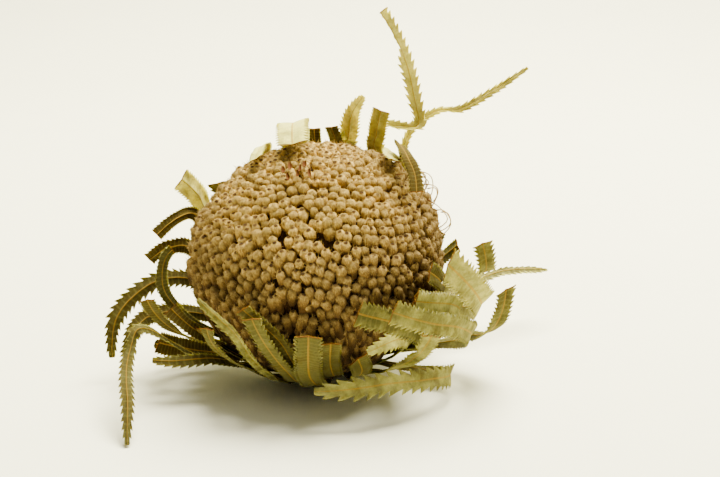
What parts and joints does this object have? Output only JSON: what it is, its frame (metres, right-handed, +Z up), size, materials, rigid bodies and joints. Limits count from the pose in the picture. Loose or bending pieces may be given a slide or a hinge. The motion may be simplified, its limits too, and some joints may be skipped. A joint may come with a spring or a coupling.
{
  "type": "banksia cone",
  "caption": "Dried banksia flower head: a furry ball of closed buds in a whorl of trimmed saw-edged leaves, on a short cut stem.",
  "frame": {"origin": "centre of the bounding box in plan, on the surface that the cone rests on", "axes": "+Z up, -Y towards the viewer of the picture, +X to the viewer's right"},
  "size_m": [0.1438, 0.109, 0.1138],
  "materials": {
    "flower_head": "felted tan buds, dark brown between",
    "leaf_bases": "dry brown leaf bases",
    "stem_stub": "dry bark with a pale sawn end",
    "leaf": "dry matt sage-olive leaf with an orange-tan midrib"
  },
  "bodies": {
    "root": {"flower_head": "flower_head", "leaf_bases": "leaf_bases", "stem_stub": "stem_stub", "leaf_front_wide": "leaf", "leaf_front_left": "leaf", "leaf_front_behind": "leaf", "leaf_front_folded": "leaf", "leaf_front_slanted": "leaf", "leaf_front_small": "leaf", "leaf_front_short": "leaf", "leaf_floor_long": "leaf", "leaf_right_pale": "leaf", "leaf_right_torn": "leaf", "leaf_right_long": "leaf", "leaf_right_under": "leaf", "leaf_right_dark": "leaf", "leaf_right_crinkled": "leaf", "leaf_right_middle": "leaf", "leaf_right_broad": "leaf", "leaf_right_upright": "leaf", "leaf_right_outer": "leaf", "leaf_left_pale": "leaf", "leaf_left_edge": "leaf", "leaf_left_dark": "leaf", "leaf_left_curled": "leaf", "leaf_left_long": "leaf", "leaf_left_forked": "leaf", "leaf_left_short": "leaf", "leaf_left_low": "leaf", "leaf_left_comb": "leaf", "leaf_left_floor": "leaf", "leaf_left_hanging": "leaf", "leaf_left_inner": "leaf", "leaf_left_hidden": "leaf", "leaf_top_pale": "leaf", "leaf_top_left": "leaf", "leaf_top_stub": "leaf", "leaf_top_short": "leaf", "leaf_top_comb": "leaf", "leaf_top_stump": "leaf", "leaf_top_small": "leaf", "leaf_top_brown": "leaf", "leaf_top_long": "leaf", "leaf_top_thin": "leaf", "leaf_back_long": "leaf", "leaf_back_left": "leaf", "leaf_back_low": "leaf", "leaf_back_short": "leaf", "leaf_back_trimmed": "leaf"}
  },
  "joints": []
}
